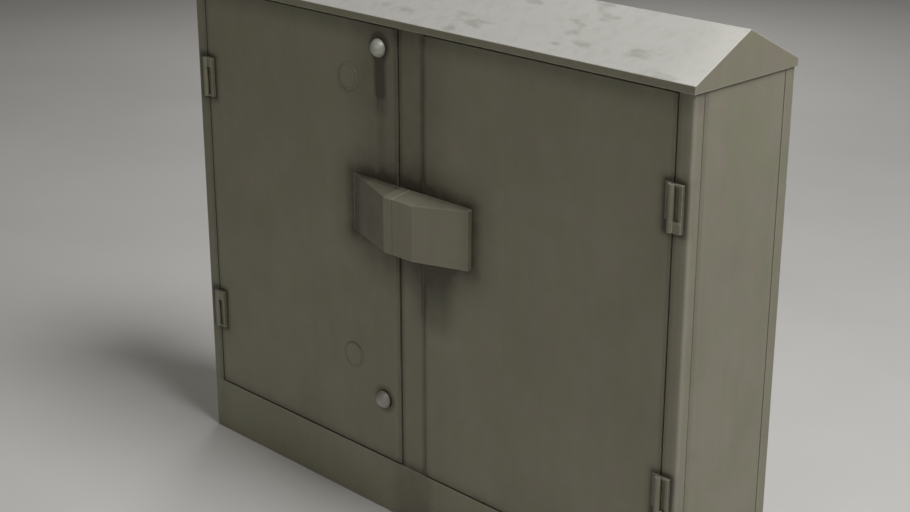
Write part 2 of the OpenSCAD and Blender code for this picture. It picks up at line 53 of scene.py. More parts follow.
cameraLook = {
    "place": (2.0130, -2.0150, 1.5402),   # metres from the middle of the cabinet's foot
    "down": 20.08,                        # degrees below level
    "turn": 45.22,                        # degrees round from facing the doors
    "lens": 65.96,                        # millimetres
    "sensor": 36.0,                       # millimetres wide
}


def makeCamera(look):
    data = bpy.data.cameras.new("camera")
    data.sensor_fit = "HORIZONTAL"
    data.sensor_width = look["sensor"]
    data.lens = look["lens"]
    camera = bpy.data.objects.new("camera", data)
    camera.location = look["place"]
    camera.rotation_euler = (math.radians(90 - look["down"]), 0.0, math.radians(look["turn"]))
    scene.collection.objects.link(camera)
    scene.camera = camera


# A broad key above and past the right-hand end lights the roof and that end and leaves the
# doors in shade; a weaker one from the right in front lifts them and models the padlock box.
lightLook = {
    "key": {
        "place": (1.85, 0.15, 3.95), "aim": (0.0, 0.0, 0.6),
        "size": 2.0, "watts": 134, "tint": (1.0, 0.995, 0.99),
    },
    "front": {
        "place": (1.5, -4.4, 2.3), "aim": (0.0, 0.0, 0.5),
        "size": 1.6, "watts": 10.5, "tint": (1.0, 0.98, 0.79),
    },
    "back": {
        "place": (-2.8, 3.4, 2.4), "aim": (0.0, 0.0, 0.4),
        "size": 2.0, "watts": 30, "tint": (1.0, 0.99, 0.96),
    },
}
skyLook = {"colour": (0.90, 0.88, 0.80), "strength": 0.10}


def makeLight(name, look):
    data = bpy.data.lights.new(name, "AREA")
    data.shape = "DISK"
    data.size = look["size"]
    data.energy = look["watts"]
    data.color = look["tint"]
    light = bpy.data.objects.new(name, data)
    light.location = look["place"]
    away = Vector(look["place"]) - Vector(look["aim"])
    light.rotation_euler = away.to_track_quat("Z", "Y").to_euler()
    light.visible_camera = False
    scene.collection.objects.link(light)


def makeSky(look):
    world = bpy.data.worlds.new("sky")
    world.use_nodes = True
    background = world.node_tree.nodes["Background"]
    background.inputs["Color"].default_value = (*look["colour"], 1.0)
    background.inputs["Strength"].default_value = look["strength"]
    scene.world = world


makeCamera(cameraLook)
for lightName, look in lightLook.items():
    makeLight(lightName + "Light", look)
makeSky(skyLook)
scene.view_settings.view_transform = "Standard"
print("camera and lights made")


class Graph:
    # a short way to write one material's nodes, in the cabinet's own metres
    def __init__(self, name):
        self.material = bpy.data.materials.new(name)
        self.material.use_nodes = True
        self.tree = self.material.node_tree
        self.tree.nodes.clear()
        self.shader = self.add("ShaderNodeBsdfPrincipled")
        output = self.add("ShaderNodeOutputMaterial")
        self.tree.links.new(self.shader.outputs["BSDF"], output.inputs["Surface"])
        self.place = self.add("ShaderNodeTexCoord").outputs["Object"]

    def add(self, kind, **settings):
        node = self.tree.nodes.new(kind)
        for key, value in settings.items():
            setattr(node, key, value)
        return node

    def put(self, socket, value):
        if isinstance(value, bpy.types.NodeSocket):
            self.tree.links.new(value, socket)
        elif socket.type == "RGBA":
            socket.default_value = (*value[:3], 1.0)
        else:
            socket.default_value = value

    def maths(self, operation, a, b=0.0, clamp=False):
        node = self.add("ShaderNodeMath", operation=operation, use_clamp=clamp)
        self.put(node.inputs[0], a)
        self.put(node.inputs[1], b)
        return node.outputs[0]

    def vector(self, operation, a, b=(0.0, 0.0, 0.0), result=0):
        node = self.add("ShaderNodeVectorMath", operation=operation)
        self.put(node.inputs[0], a)
        if len(node.inputs) > 1 and node.inputs[1].enabled:
            self.put(node.inputs[1], b)
        return node.outputs[result]

    def axis(self, vector, letter):
        node = self.add("ShaderNodeSeparateXYZ")
        self.put(node.inputs[0], vector)
        return node.outputs[letter]

    def noise(self, scale, detail=3.0, rough=0.55, stretch=(1.0, 1.0, 1.0), shift=(0.0, 0.0, 0.0)):
        # noise with scale grains to the metre along each axis, times stretch
        grains = tuple(scale * share for share in stretch)
        moved = self.vector("ADD", self.vector("MULTIPLY", self.place, grains), shift)
        node = self.add("ShaderNodeTexNoise")
        self.put(node.inputs["Vector"], moved)
        node.inputs["Scale"].default_value = 1.0
        node.inputs["Detail"].default_value = detail
        node.inputs["Roughness"].default_value = rough
        return node.outputs["Fac"]

    def band(self, value, low, high, start=0.0, end=1.0):
        # a soft step from start to end as value goes from low to high
        node = self.add("ShaderNodeMapRange", interpolation_type="SMOOTHSTEP")
        numbers = {"Value": value, "From Min": low, "From Max": high, "To Min": start, "To Max": end}
        for socket, number in numbers.items():
            self.put(node.inputs[socket], number)
        return node.outputs["Result"]

    def near(self, place):
        # strength within core of a box given by its middle and half sizes, fading to 0 over reach
        (middle, half), core, reach, strength = place
        apart = self.vector("ABSOLUTE", self.vector("SUBTRACT", self.place, middle))
        outside = self.vector("MAXIMUM", self.vector("SUBTRACT", apart, half), (0.0, 0.0, 0.0))
        distance = self.vector("LENGTH", outside, result="Value")
        return self.maths("MULTIPLY", self.band(distance, core, core + reach, 1.0, 0.0), strength)

    def mix(self, amount, a, b, how="MIX"):
        # the node's sockets 6, 7 and 2 are those for colours
        node = self.add("ShaderNodeMix", data_type="RGBA", blend_type=how)
        self.put(node.inputs["Factor"], amount)
        self.put(node.inputs[6], a)
        self.put(node.inputs[7], b)
        return node.outputs[2]

    def edges(self, radius, low=0.02, high=0.3):
        # 1 on edges and folds narrower than radius, from how far rounded normals lean from the true ones
        soft = self.add("ShaderNodeBevel", samples=4)
        soft.inputs["Radius"].default_value = radius
        true = self.add("ShaderNodeNewGeometry").outputs["Normal"]
        lean = self.maths("SUBTRACT", 1.0, self.vector("DOT_PRODUCT", soft.outputs[0], true, result="Value"))
        return self.band(lean, low, high)

    def bump(self, height, depth, over=None):
        node = self.add("ShaderNodeBump")
        node.inputs["Distance"].default_value = depth
        node.inputs["Strength"].default_value = 1.0
        self.put(node.inputs["Height"], height)
        if over is not None:
            self.put(node.inputs["Normal"], over)
        return node.outputs[0]

    def finish(self, colour, rough, normal, **constants):
        self.put(self.shader.inputs["Base Color"], colour)
        self.put(self.shader.inputs["Roughness"], rough)
        self.put(self.shader.inputs["Normal"], normal)
        for key, value in constants.items():
            self.put(self.shader.inputs[key], value)
        return self.material


paintLook = {
    "plain": (0.266, 0.252, 0.189),      # the coat where it is sound
    "faded": (0.302, 0.288, 0.220),      # bleached patches
    "green": (0.965, 1.0, 0.94),         # times the coat, in its greener patches
    "warm": (1.025, 0.985, 1.02),        # times the coat, in its warmer patches
    "dirt": (0.085, 0.077, 0.054),       # road film in runs, and painted shade in gaps, corners and under parts
    "worn": (0.46, 0.445, 0.385),        # rubbed edges, and painted highlights on edges and corners
    "chalk": (0.468, 0.463, 0.436),      # sun-bleached and dusty where it faces the sky, and paler there as painted top light
    "smudge": (0.345, 0.340, 0.312),     # where that chalk has been wetted and darkened
}
plinthLook = {**paintLook, "plain": (0.282, 0.267, 0.200), "faded": (0.318, 0.303, 0.231)}
boxLook = {**paintLook, "chalk": (0.15, 0.142, 0.112), "smudge": (0.11, 0.103, 0.08)}   # dust on its lid
# on the roof its edge colour is paler still: a painted glint along the right-hand gable fold and the roof's
# edges
roofLook = {**paintLook, "worn": (0.62, 0.61, 0.57)}

paintGrain = {                           # how many to the metre
    "clouds": 2.3, "blotches": 13.0, "tones": 17.0, "runs": 42.0,
    "smear": 30.0, "specks": 420.0,      # breaks in the dirt and painted shade, and fine spots
    "damp": 24.0, "mottle": 46.0,        # patches and small marks in the chalk
    "peel": 900.0, "waves": 5.0,         # unevenness of the coat and of the sheet
}


def coat(graph, look, streaks):
    # the paint's own colour: large bleached clouds, smaller blotches and faint runs down the sheet
    clouds = graph.noise(paintGrain["clouds"], detail=2.0, shift=(3.1, 0.4, 7.7))
    blotches = graph.noise(paintGrain["blotches"], detail=5.0, rough=0.62, stretch=(1.0, 1.0, 0.7),
                           shift=(1.7, 5.2, 0.3))
    amount = graph.maths("ADD", graph.maths("MULTIPLY", graph.band(clouds, 0.3, 0.7), 0.45),
                         graph.maths("MULTIPLY", graph.band(blotches, 0.3, 0.72), 0.55))
    colour = graph.mix(amount, look["plain"], look["faded"])
    tones = graph.noise(paintGrain["tones"], rough=0.6, shift=(6.2, 1.1, 3.8))
    tint = graph.mix(graph.band(tones, 0.36, 0.64), look["green"], look["warm"])
    colour = graph.mix(1.0, colour, tint, "MULTIPLY")
    runs = graph.noise(paintGrain["runs"], stretch=(1.0, 1.0, 0.05), shift=(9.0, 2.0, 4.0))
    return graph.mix(graph.band(runs, 0.45, 0.80, 0.0, streaks), colour, look["dirt"]), blotches


def paintHighlights(graph, colour, look, highlights):
    # painted highlight: the coat made paler at each place
    for place in highlights:
        colour = graph.mix(graph.near(place), colour, look["worn"])
    return colour


def upFacingCoat(graph, colour, look, upFacingShare, highlights):
    # the coat goes chalky where it faces up, less where water has run down the slope; on the roof this paler
    # top is also painted top light
    smudges = graph.noise(paintGrain["damp"], detail=4.0, stretch=(0.5, 1.1, 1.0), shift=(4.4, 0.0, 2.0))
    mottle = graph.noise(paintGrain["mottle"], detail=4.0, rough=0.6, shift=(0.7, 3.3, 1.0))
    damp = graph.maths("ADD", graph.band(smudges, 0.56, 0.68, 0.0, 0.85),
                       graph.band(mottle, 0.45, 0.70, 0.0, 0.28), clamp=True)
    chalk = paintHighlights(graph, graph.mix(damp, look["chalk"], look["smudge"]), look, highlights)
    up = graph.axis(graph.add("ShaderNodeNewGeometry").outputs["Normal"], "Z")
    return graph.mix(graph.band(up, 0.25, 0.85, 0.0, upFacingShare), colour, chalk)


def layDirtAndShade(graph, colour, look, masks, innerUntouched):
    # the masks added up, broken by a soft smear, lay the dark colour of dirt and painted shade over the coat
    total = masks[0]
    for mask in masks[1:]:
        total = graph.maths("ADD", total, mask)
    if innerUntouched:
        # the face that looks into the cabinet, towards +y, gets none of the dirt and painted shade
        inward = graph.axis(graph.add("ShaderNodeTexCoord").outputs["Normal"], "Y")
        total = graph.maths("MULTIPLY", total, graph.band(inward, 0.3, 0.7, 1.0, 0.0))
    smear = graph.noise(paintGrain["smear"], detail=4.0, rough=0.6, stretch=(1.0, 1.0, 0.8))
    broken = graph.maths("MULTIPLY", total, graph.band(smear, 0.2, 0.7, 0.72, 1.12), clamp=True)
    return graph.mix(broken, colour, look["dirt"])


def weatheredShadedPaint(name, look, shadeAndDirt=(), highlights=(), splash=0.0, streaks=0.05, upFacingShare=0.0, innerUntouched=False):
    # the places of painted shade and dirt, and of painted highlight, each give a middle and half sizes, a
    # core, a reach and a strength
    graph = Graph(name)
    colour, blotches = coat(graph, look, streaks)
    if upFacingShare:
        colour = upFacingCoat(graph, colour, look, upFacingShare, highlights)
    masks = [graph.near(place) for place in shadeAndDirt]
    if splash:
        masks.append(graph.band(graph.axis(graph.place, "Z"), 0.0, 0.26, splash, 0.0))   # from the ground
    if masks:
        colour = layDirtAndShade(graph, colour, look, masks, innerUntouched)
    if not upFacingShare:
        colour = paintHighlights(graph, colour, look, highlights)
    specks = graph.noise(paintGrain["specks"], detail=2.0)
    # edge wear, and a painted highlight along edges and folds
    edgeWearAndHighlight = graph.maths("MULTIPLY", graph.edges(0.004, 0.01, 0.22), graph.band(specks, 0.35, 0.65, 0.25, 0.8))
    colour = graph.mix(edgeWearAndHighlight, colour, look["worn"])
    colour = graph.mix(graph.band(specks, 0.62, 0.8, 0.0, 0.18), colour, look["dirt"])
    peel = graph.noise(paintGrain["peel"], detail=1.0)
    waves = graph.noise(paintGrain["waves"], detail=1.0, shift=(2.0, 8.0, 1.0))
    normal = graph.bump(peel, 0.00006, graph.bump(waves, 0.0022))
    return graph.finish(colour, graph.band(blotches, 0.25, 0.75, 0.62, 0.48), normal, IOR=1.48)


metalLooks = {                           # rough: where it is bright, where it is dull
    "zincPlate": {"dull": (0.42, 0.425, 0.41), "bright": (0.60, 0.60, 0.58), "rough": (0.36, 0.52)},
    # the lock collars are made very dark all over
    "darkCollar": {"dull": (0.10, 0.098, 0.085), "bright": (0.20, 0.198, 0.18), "rough": (0.5, 0.65)},
    "lockSteel": {
        "dull": (0.40, 0.405, 0.36), "bright": (0.55, 0.555, 0.50), "rough": (0.36, 0.50),
        "stretch": (1.0, 1.0, 4.0), "metallic": 0.3,
    },
    "dullCopper": {
        "dull": (0.40, 0.21, 0.12), "bright": (0.66, 0.37, 0.22), "rough": (0.30, 0.50),
        "grain": 300.0, "stretch": (0.05, 1.0, 1.0),
    },
}


def metal(name, dull, bright, rough, grain=120.0, stretch=(1.0, 1.0, 1.0), metallic=0.9):
    # plated or bare metal with a grain, dull patches and dark lines
    graph = Graph(name)
    patches = graph.noise(38.0, detail=4.0, rough=0.6)
    lines = graph.noise(grain, stretch=stretch)
    colour = graph.mix(graph.band(patches, 0.3, 0.7), dull, bright)
    colour = graph.mix(graph.band(lines, 0.45, 0.8, 0.0, 0.3), colour, tuple(0.55 * c for c in dull))
    brightRough, dullRough = rough
    roughness = graph.maths("ADD", graph.band(patches, 0.3, 0.7, dullRough, brightRough),
                            graph.band(lines, 0.4, 0.7, 0.0, 0.08))
    return graph.finish(colour, roughness, graph.bump(lines, 0.00008), Metallic=metallic)


galvanisedLook = {
    "crystals": 85.0,                    # to the metre
    "dark": (0.36, 0.375, 0.385), "light": (0.60, 0.615, 0.62),
    "dull": (0.42, 0.42, 0.40),          # where it has gone flat and grey
}


def galvanised(name, look):
    # zinc crystals: flat cells of slightly different grey, with a soft sheen
    graph = Graph(name)
    warp = graph.noise(90.0, detail=2.0)
    cells = graph.add("ShaderNodeTexVoronoi")
    graph.put(cells.inputs["Vector"], graph.vector("ADD", graph.place, graph.maths("MULTIPLY", warp, 0.006)))
    cells.inputs["Scale"].default_value = look["crystals"]
    grey = graph.add("ShaderNodeRGBToBW")
    graph.put(grey.inputs[0], cells.outputs["Color"])
    shade = graph.maths("ADD", graph.maths("MULTIPLY", grey.outputs[0], 0.75),
                        graph.maths("MULTIPLY", warp, 0.25))
    colour = graph.mix(shade, look["dark"], look["light"])
    patches = graph.noise(9.0, detail=4.0)
    colour = graph.mix(graph.band(patches, 0.5, 0.8, 0.0, 0.4), colour, look["dull"])
    roughness = graph.band(shade, 0.2, 0.8, 0.52, 0.34)
    return graph.finish(colour, roughness, graph.bump(shade, 0.00005), Metallic=0.85)


mouldedLooks = {
    "creamPlastic": {"plain": (0.76, 0.73, 0.63), "handled": (0.67, 0.635, 0.53), "rough": 0.45},
    "blackPlastic": {"plain": (0.030, 0.030, 0.031), "handled": (0.05, 0.048, 0.045), "rough": 0.42},
    "cellRubber": {
        "plain": (0.022, 0.022, 0.022), "handled": (0.045, 0.043, 0.04), "rough": 0.78,
        "depth": 0.0002,
    },
}


def moulded(name, plain, handled, rough, depth=0.00004):
    # moulded plastic or rubber: fine spark texture, handling marks and dust on its edges
    graph = Graph(name)
    spark = graph.noise(1600.0, detail=2.0)
    marks = graph.noise(26.0, detail=5.0, rough=0.65)
    dust = tuple(min(1.0, 1.25 * c + 0.02) for c in plain)
    colour = graph.mix(graph.band(marks, 0.35, 0.75), plain, handled)
    colour = graph.mix(graph.maths("MULTIPLY", graph.edges(0.0012), 0.35), colour, dust)
    roughness = graph.band(marks, 0.3, 0.7, rough + 0.08, rough - 0.08)
    return graph.finish(colour, roughness, graph.bump(spark, depth))


doorLow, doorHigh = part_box("left_door")
rightLow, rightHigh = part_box("right_door")
boxLow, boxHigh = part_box("lock_box_left")
postLow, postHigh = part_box("front_right_post")


def boxOf(*names):
    # middle and half sizes of the box round some nodes
    corners = np.array([[list(c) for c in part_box(n)] for n in names])
    low, high = corners[:, 0].min(0), corners[:, 1].max(0)
    return tuple((low + high) / 2), tuple((high - low) / 2)


def slab(x0, x1, z0, z1, deep=0.004):
    # middle and half sizes of a box on the front plane, as deep in front of it as behind it
    return ((x0 + x1) / 2, doorLow.y, (z0 + z1) / 2), (abs(x1 - x0) / 2, deep, abs(z1 - z0) / 2)


def ball(node, drop=0.0):
    # the middle of a round node on the front, as a box of no size, and the node's radius
    middle, half = boxOf(node)
    return ((middle[0] - drop, doorLow.y, middle[2] - drop), (0.0, 0.0, 0.0)), half[0]


shadeAndDirtLook = {                            # how far each mark of painted shade or of dirt reaches, in metres, and how strong it is
    # painted shade: boxRim, boxHalo, underBox, underSeam, underEaves, leftSeam, rightSeam, hingeSeam, both
    # sill marks, lock, plugRing, hinge, hingeRim, postSeam, boxFoot, boxLeft, boxRight and hingeFoot;
    # plugFace keeps it off the plug's face; dirt runs: lockRun, lockFilm, lockTail, betweenLocks and
    # plinthRun
    "boxRim": (0.030, 0.55), "boxHalo": (0.075, 0.34),
    "underBox": (0.110, 0.52), "underSeam": (0.055, 0.42),
    "lockRun": (0.014, 0.62), "lockFilm": (0.022, 0.30), "lockTail": (0.012, 0.22),
    "betweenLocks": (0.085, 0.30), "plinthRun": (0.030, 0.35), "underEaves": (0.045, 0.35),
    "leftSeam": (0.011, 0.42), "rightSeam": (0.011, 0.52), "hingeSeam": (0.010, 0.40),
    "sill": (0.010, 0.30), "sillShade": (0.024, 0.20),
    "lock": (0.014, 0.70), "plugRing": (0.006, 0.38), "plugFace": (0.005, -0.40),
    "hinge": (0.022, 0.50), "hingeRim": (0.012, 0.75), "postSeam": (0.009, 0.22),
    "boxFoot": (0.014, 0.45), "boxLeft": (0.004, 0.45), "boxRight": (0.004, 0.10),
    "hingeFoot": (0.004, 0.5),
}


def shadeAndDirtAt(box, key, core=0.0):
    # one place of painted shade, or one where dirt has settled; it is at full strength within core of the box
    return (box, core, *shadeAndDirtLook[key])


def makeFrontShadeAndDirt():
    # painted shade round what stands on the front sheet, along its gaps and under the box and the eaves; dirt
    # in the runs below the upper lock and at the foot of the centre strip
    (lockX, _, lockZ), _ = boxOf("upper_lock_body")
    padlockBox = boxOf("lock_box_left", "lock_box_right")
    sill = slab(doorLow.x, rightHigh.x, doorLow.z - 0.003, doorLow.z)
    places = [
        # painted shade round the padlock box
        shadeAndDirtAt(padlockBox, "boxRim"),
        shadeAndDirtAt(padlockBox, "boxHalo"),
        # painted shadow under the padlock box
        shadeAndDirtAt(slab(doorHigh.x - 0.02, rightLow.x + 0.03, boxLow.z - 0.02, boxLow.z), "underBox"),
        shadeAndDirtAt(slab(rightLow.x + 0.004, rightLow.x + 0.040, boxLow.z - 0.11, boxLow.z), "underSeam"),
        shadeAndDirtAt(slab(lockX - 0.006, lockX + 0.006, lockZ - 0.080, lockZ), "lockRun"),
        shadeAndDirtAt(slab(lockX - 0.003, lockX + 0.003, lockZ - 0.110, lockZ), "lockFilm"),
        shadeAndDirtAt(slab(lockX - 0.003, lockX + 0.003, boxHigh.z, lockZ - 0.090), "lockTail"),
        shadeAndDirtAt(slab(lockX - 0.02, rightLow.x, boxHigh.z, doorHigh.z), "betweenLocks"),
        shadeAndDirtAt(slab(doorHigh.x, rightLow.x, 0.0, 0.10), "plinthRun"),
        # painted shade under the eaves
        shadeAndDirtAt(slab(-0.6, 0.6, doorHigh.z, doorHigh.z + 0.02), "underEaves"),
        # painted shade along the gaps beside the doors and the centre strip, and along the gap at the door
        # foot
        shadeAndDirtAt(slab(doorHigh.x, doorHigh.x + 0.003, 0.0, doorHigh.z), "leftSeam"),
        shadeAndDirtAt(slab(rightLow.x - 0.003, rightLow.x, 0.0, doorHigh.z), "rightSeam"),
        shadeAndDirtAt(slab(doorLow.x - 0.003, doorLow.x, doorLow.z, doorHigh.z), "hingeSeam"),
        shadeAndDirtAt(slab(rightHigh.x, rightHigh.x + 0.003, doorLow.z, doorHigh.z), "hingeSeam"),
        shadeAndDirtAt(sill, "sill"),
        shadeAndDirtAt(sill, "sillShade"),
    ]
    for level in ("upper", "lower"):
        # painted shade round each lock
        middle, radius = ball(f"{level}_lock_body")
        places.append(shadeAndDirtAt(middle, "lock", radius))
        middle, radius = ball(f"{level}_blanking_plug")
        # the ring is moved down and to the left: a painted shadow of the raised plug
        lowered, radius = ball(f"{level}_blanking_plug", drop=0.002)
        places.append(shadeAndDirtAt(lowered, "plugRing", radius - 0.001))
        places.append(shadeAndDirtAt(middle, "plugFace", radius - 0.006))   # less than none: the painted shade and dirt are kept off its own face
        for end in ("left", "right"):
            # painted shade round each hinge
            hingeBox = boxOf(f"{end}_{level}_hinge_leaf", f"{end}_{level}_hinge_barrel")
            places.append(shadeAndDirtAt(hingeBox, "hinge"))
            places.append(shadeAndDirtAt(hingeBox, "hingeRim"))
    # painted shade along the seam at the side of the right-hand post
    postSeam = (postHigh.x, postHigh.y, 0.5), (0.002, 0.001, 0.45)
    places.append(shadeAndDirtAt(postSeam, "postSeam"))
    return places


frontShadeAndDirt = makeFrontShadeAndDirt()
plinthGrime = [shadeAndDirtAt(slab(doorHigh.x, rightLow.x, 0.0, 0.1), "plinthRun")]
# painted shade on the hinges close to the front sheet
hingeFootShade = [shadeAndDirtAt(slab(-0.7, 0.7, 0.0, 1.0), "hingeFoot")]

padlockBoxLook = {"leftFold": -0.024, "rightFold": 0.054}    # x of the folds of its front, in metres
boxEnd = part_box("lock_box_right")[1].x
# painted shade on the padlock box: where it meets the door, strongly on its left-hand face and a little on
# its right-hand face
boxShade = [
    shadeAndDirtAt(slab(-0.2, 0.2, boxLow.z, boxHigh.z), "boxFoot"),
    shadeAndDirtAt(slab(boxLow.x, padlockBoxLook["leftFold"], boxLow.z, boxHigh.z, deep=0.1), "boxLeft"),
    shadeAndDirtAt(slab(padlockBoxLook["rightFold"], boxEnd, boxLow.z, boxHigh.z, deep=0.1), "boxRight"),
]

# painted highlights: the right-hand front corner is paler from top to bottom, and the roof is brightest at
# that end
cornerHighlight = [(((postHigh.x, postLow.y, 0.5), (0.001, 0.001, 0.5)), 0.0, 0.014, 0.24)]
gableHighlight = [(((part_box("roof_cap")[1].x, 0.0, 1.0), (0.002, 0.2, 0.1)), 0.0, 0.090, 0.45)]

finishes = {
    "front": weatheredShadedPaint("bodyPaint", paintLook, frontShadeAndDirt, cornerHighlight, splash=0.10),
    "door": weatheredShadedPaint("doorPaint", paintLook, frontShadeAndDirt, splash=0.10, innerUntouched=True),
    "box": weatheredShadedPaint("boxPaint", boxLook, boxShade, streaks=0.10, upFacingShare=0.30),
    "plinth": weatheredShadedPaint("plinthPaint", plinthLook, plinthGrime, splash=0.04),
    "hinge": weatheredShadedPaint("hingePaint", paintLook, hingeFootShade, streaks=0.1),
    "inner": weatheredShadedPaint("innerPaint", paintLook),
    "roof": weatheredShadedPaint("roofPaint", roofLook, highlights=gableHighlight, upFacingShare=1.0),
    "zinc": metal("zincPlate", **metalLooks["zincPlate"]),
    "collar": metal("darkCollar", **metalLooks["darkCollar"]),
    "lock": metal("lockSteel", **metalLooks["lockSteel"]),
    "galvanised": galvanised("galvanisedSheet", galvanisedLook),
    "copper": metal("dullCopper", **metalLooks["dullCopper"]),
    "cream": moulded("creamPlastic", **mouldedLooks["creamPlastic"]),
    "black": moulded("blackPlastic", **mouldedLooks["blackPlastic"]),
    "rubber": moulded("cellRubber", **mouldedLooks["cellRubber"]),
}
print("materials made:", len(finishes))

bodyOf = {node: body for body, nodes in frame["record"]["behaviour"]["bodies"].items() for node in nodes}


def camel(node):
    first, *others = node.split("_")
    return first + "".join(word.capitalize() for word in others)


def faceWidth(face, edge):
    # how far a face reaches from one of its edges, square to that edge
    across = face.normal.cross((edge.verts[1].co - edge.verts[0].co).normalized())
    start = edge.verts[0].co
    return max(abs((vertex.co - start).dot(across)) for vertex in face.verts)


foldLook = {
    "segments": 3,
    "cutWidth": 0.0035,       # a face narrower than this is the cut edge of a sheet
    "cutShare": 0.14,         # of its width that may be rounded off
    "foldShare": 0.4,         # of any other face's width
    "merge": 1e-6,            # metres between corners that are one
    "flat": 0.5,              # degrees between faces that are one
}


def softCopy(node, finish, fold, limit, look):
    # a merged copy of a CAD node; every edge sharper than limit degrees gets the fold radius, or
    # less beside a narrow face: a cut sheet edge is only broken, not rounded
    mesh = frame["nodes"][node].data.copy()
    mesh.name = camel(node)
    work = bmesh.new()
    work.from_mesh(mesh)
    bmesh.ops.remove_doubles(work, verts=work.verts, dist=look["merge"])
    bmesh.ops.dissolve_limit(work, angle_limit=math.radians(look["flat"]), verts=work.verts, edges=work.edges)
    weight = work.edges.layers.float.new("bevel_weight_edge")
    for edge in work.edges:
        if len(edge.link_faces) == 2 and edge.calc_face_angle() > math.radians(limit):
            narrow = min(faceWidth(face, edge) for face in edge.link_faces)
            share = look["cutShare"] if narrow < look["cutWidth"] else look["foldShare"]
            edge[weight] = min(1.0, share * narrow / fold)
    work.to_mesh(mesh)
    work.free()
    if "custom_normal" in mesh.attributes:
        mesh.attributes.remove(mesh.attributes["custom_normal"])
    mesh.polygons.foreach_set("use_smooth", np.ones(len(mesh.polygons), bool))
    mesh.set_sharp_from_angle(angle=math.radians(limit))
    mesh.materials.clear()
    mesh.materials.append(finishes[finish])
    piece = bpy.data.objects.new(camel(node), mesh)
    scene.collection.objects.link(piece)
    bevel = piece.modifiers.new("folds", "BEVEL")
    bevel.limit_method = "WEIGHT"
    bevel.width = fold
    bevel.segments = look["segments"]
    bevel.harden_normals = True
    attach(piece, bodyOf[node])
    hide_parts(node)


# fold radius in metres, finish, and the angle over which an edge is rounded
softNodes = {
    "plinth": (0.0020, "plinth", 30), "roof_cap": (0.0022, "roof", 30),
    "front_left_post": (0.0008, "front", 30), "front_right_post": (0.0008, "front", 30),
    "rear_left_post": (0.0008, "front", 30), "rear_right_post": (0.0008, "front", 30),
    "left_side_panel": (0.0020, "front", 30), "right_side_panel": (0.0020, "front", 30),
    "rear_panel": (0.0020, "front", 30), "centre_post": (0.0018, "front", 30),
    "head_rail": (0.0008, "inner", 30), "rear_rail": (0.0008, "inner", 30),
    "left_door": (0.0018, "door", 30), "right_door": (0.0018, "door", 30),
    "left_door_stiffener": (0.0010, "inner", 30), "right_door_stiffener": (0.0010, "inner", 30),
    "lock_box_left": (0.0022, "box", 12), "lock_box_right": (0.0022, "box", 12),
    "left_upper_hinge_leaf": (0.0010, "hinge", 30), "left_lower_hinge_leaf": (0.0010, "hinge", 30),
    "right_upper_hinge_leaf": (0.0010, "hinge", 30), "right_lower_hinge_leaf": (0.0010, "hinge", 30),
    "left_upper_hinge_barrel": (0.0008, "hinge", 30), "left_lower_hinge_barrel": (0.0008, "hinge", 30),
    "right_upper_hinge_barrel": (0.0008, "hinge", 30), "right_lower_hinge_barrel": (0.0008, "hinge", 30),
    "left_padlock_lug": (0.0010, "zinc", 30), "right_padlock_lug": (0.0010, "zinc", 30),
    "document_pocket": (0.0006, "galvanised", 30), "floor_tray": (0.0008, "galvanised", 30),
    "upper_rack_rail": (0.0010, "galvanised", 30), "lower_rack_rail": (0.0010, "galvanised", 30),
    "roof_hangers": (0.0008, "galvanised", 30), "earth_bar": (0.0006, "copper", 30),
    "upper_lock_cam": (0.0007, "galvanised", 30), "lower_lock_cam": (0.0007, "galvanised", 30),
    "lock_nuts": (0.0006, "zinc", 30), "centre_post_bolts": (0.0005, "zinc", 30),
    "roof_bolts": (0.0005, "zinc", 30),
    **{f"terminal_block_{i}": (0.0008, "cream", 30) for i in range(1, 7)},
}
for node, (fold, finish, limit) in softNodes.items():
    softCopy(node, finish, fold, limit, foldLook)

# nodes whose own round shape is right keep it and only take their finish
plainNodes = {
    "upper_blanking_plug": "door", "lower_blanking_plug": "door", "hinge_pins": "zinc",
    "upper_lock_body": "collar", "lower_lock_body": "collar", "upper_lock_dome": "lock",
    "lower_lock_dome": "lock", "jumper_rings": "zinc", "earth_bar_insulators": "black",
    "cable_sleeves": "galvanised",
}
for node, finish in plainNodes.items():
    frame["nodes"][node].material_slots[0].material = finishes[finish]
print("nodes finished:", len(softNodes), "rounded,", len(plainNodes), "as packed")


def addMesh(name, points, faces, finish, body):
    # points is an array whose last axis is x, y, z; the faces are turned to point outwards
    mesh = bpy.data.meshes.new(name)
    mesh.from_pydata(points.reshape(-1, 3).tolist(), [], faces)
    mesh.materials.append(finishes[finish])
    piece = bpy.data.objects.new(name, mesh)
    scene.collection.objects.link(piece)
    work = bmesh.new()
    work.from_mesh(mesh)
    bmesh.ops.recalc_face_normals(work, faces=work.faces)
    work.to_mesh(mesh)
    work.free()
    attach(piece, body)
    return piece


gasketLook = {
    "width": 0.010,
    "bulbs": 2,
    "valley": 0.55,           # height between the bulbs, as a share of the depth
    "profilePoints": 28,
    "cornerRadius": 0.012,
    "cornerPoints": 9,
}


def gasketProfile(look, depth):
    # a flat back and soft bulbs side by side, as (across, out):
    # out = depth * (valley + (1 - valley) * |sin(pi * bulbs * across / width)| ** 0.7)
    across = np.linspace(0.0, 1.0, look["profilePoints"])
    waves = np.abs(np.sin(math.pi * look["bulbs"] * across)) ** 0.7
    out = look["valley"] + (1.0 - look["valley"]) * waves
    out[[0, -1]] = 0.0
    return np.stack([across * look["width"], out * depth], axis=-1)


def loopFaces(rings, sides):
    # quads between neighbouring rings of a profile with that many points, closed both ways
    ring = np.arange(rings)[:, None]
    side = np.arange(sides)[None, :]
    here, there = ring * sides, ((ring + 1) % rings) * sides
    ahead = (side + 1) % sides
    return np.stack([here + side, there + side, there + ahead, here + ahead], axis=-1).reshape(-1, 4)


